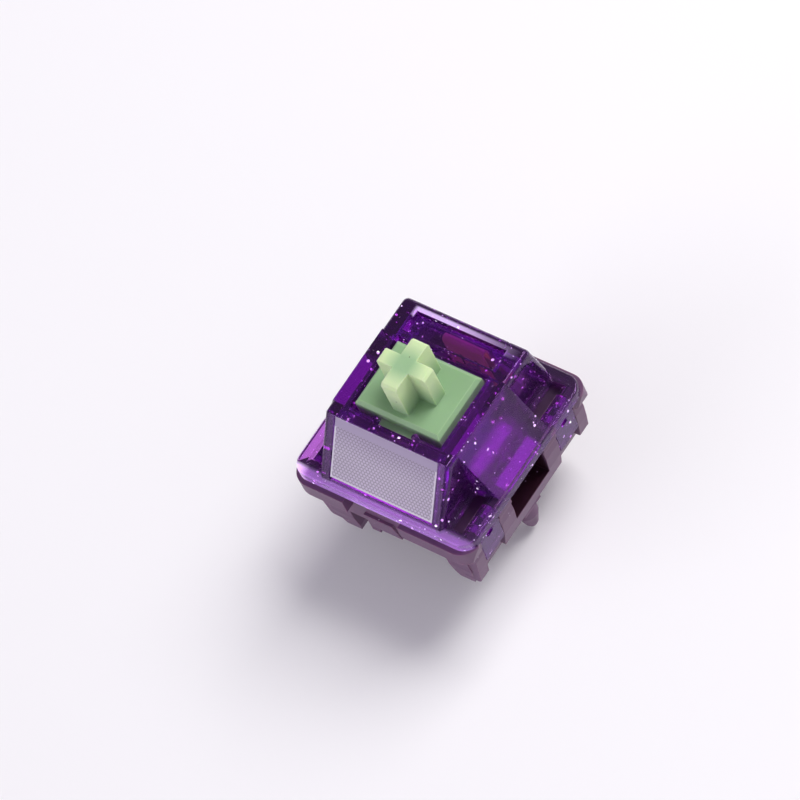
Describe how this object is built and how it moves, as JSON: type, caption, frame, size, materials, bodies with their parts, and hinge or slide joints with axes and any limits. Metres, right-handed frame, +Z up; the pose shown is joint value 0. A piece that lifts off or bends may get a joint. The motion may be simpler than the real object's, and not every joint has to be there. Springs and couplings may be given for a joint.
{
  "type": "mechanical keyboard switch",
  "caption": "Plate-mounted push switch with a sliding cross stem, clear hood, sloped light diffuser, return spring and sheet-metal contacts.",
  "frame": {"origin": "on the axis of the centre post, in the plane where the housing sits on its circuit board", "axes": "+Z up, against the stem's travel and towards the keycap; +Y towards the side with the metal contacts, -Y towards the light window; +X to the right seen from the light window"},
  "size_m": [0.0156, 0.0156, 0.0185],
  "materials": {
    "base_plastic": "satin moulded plastic",
    "clear_hood": "clear tinted moulded plastic with fine silver flakes",
    "frosted_lens": "frosted clear plastic with a fine prism pattern",
    "stem_plastic": "matte self-lubricating plastic",
    "spring_steel": "bright drawn wire",
    "terminal_metal": "plated sheet",
    "leaf_copper": "bright copper alloy sheet",
    "contact_metal": "gold alloy"
  },
  "bodies": {
    "housing": {"bottom_housing": "base_plastic", "top_housing": "clear_hood", "light_diffuser": "frosted_lens", "return_spring": "spring_steel", "fixed_contact": "terminal_metal", "fixed_contact_point": "contact_metal", "leaf_terminal": "terminal_metal"},
    "stem": {"stem": "stem_plastic"},
    "leaf": {"contact_leaf": "leaf_copper", "leaf_contact_point": "contact_metal"}
  },
  "joints": [
    {"name": "stem_travel", "type": "slide", "parent": "housing", "child": "stem", "axis": [0, 0, -1], "range_m": [0, 0.004], "stiffness_N_per_m": 65, "springref_m": -0.0055, "deforming": ["return_spring"]},
    {"name": "leaf_flex", "type": "slide", "parent": "housing", "child": "leaf", "axis": [0, -1, 0], "range_m": [0, 0.00042]}
  ],
  "couplings": [
    {"joint": "leaf_flex", "follows": "stem_travel", "ratio": 0.105}
  ]
}
